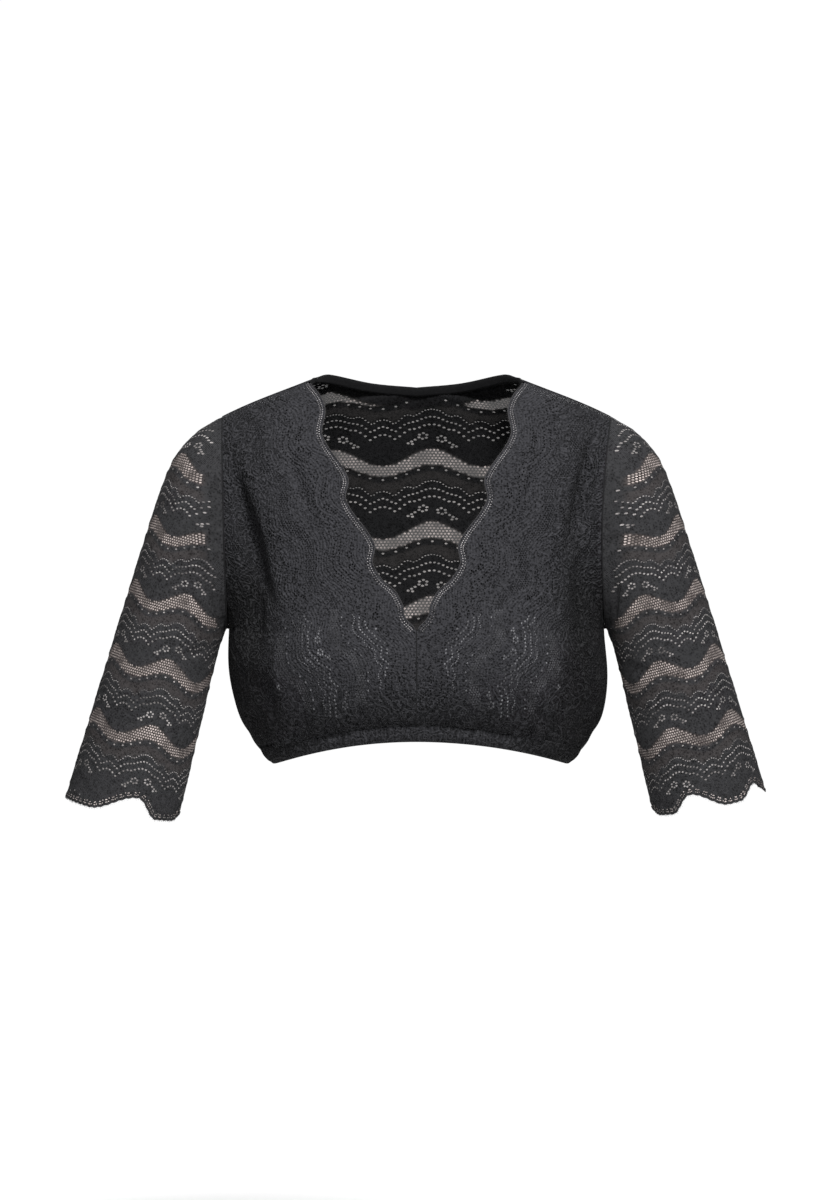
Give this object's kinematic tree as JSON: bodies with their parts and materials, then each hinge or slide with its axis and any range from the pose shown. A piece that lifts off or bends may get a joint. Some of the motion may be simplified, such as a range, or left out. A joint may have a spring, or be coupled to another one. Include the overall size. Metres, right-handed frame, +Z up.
{
  "type": "dirndl blouse",
  "caption": "Short cropped blouse of scalloped lace with a deep V front over a lining, a sheer back, elbow-length sleeves with scalloped cuffs and a gathered elastic hem.",
  "frame": {"origin": "midway between the wearer's shoulders, at half the height of the shoulder seams and almost in the plane of the side seams: where the wearer holds the blouse up", "axes": "+X towards the wearer's left, -Y out of the front, +Z up"},
  "size_m": [0.6785, 0.2321, 0.4351],
  "materials": {
    "lace": "matt black stretch lace with a slight sheen",
    "lining": "matt black knitted lining",
    "casing": "matt black gathered cloth over elastic"
  },
  "bodies": {
    "root": {"front_left": "lace", "front_right": "lace", "front_lining_left": "lining", "front_lining_right": "lining", "back": "lace", "sleeve_left": "lace", "sleeve_right": "lace", "hem_casing": "casing", "back_neck_binding": "casing"}
  },
  "joints": []
}
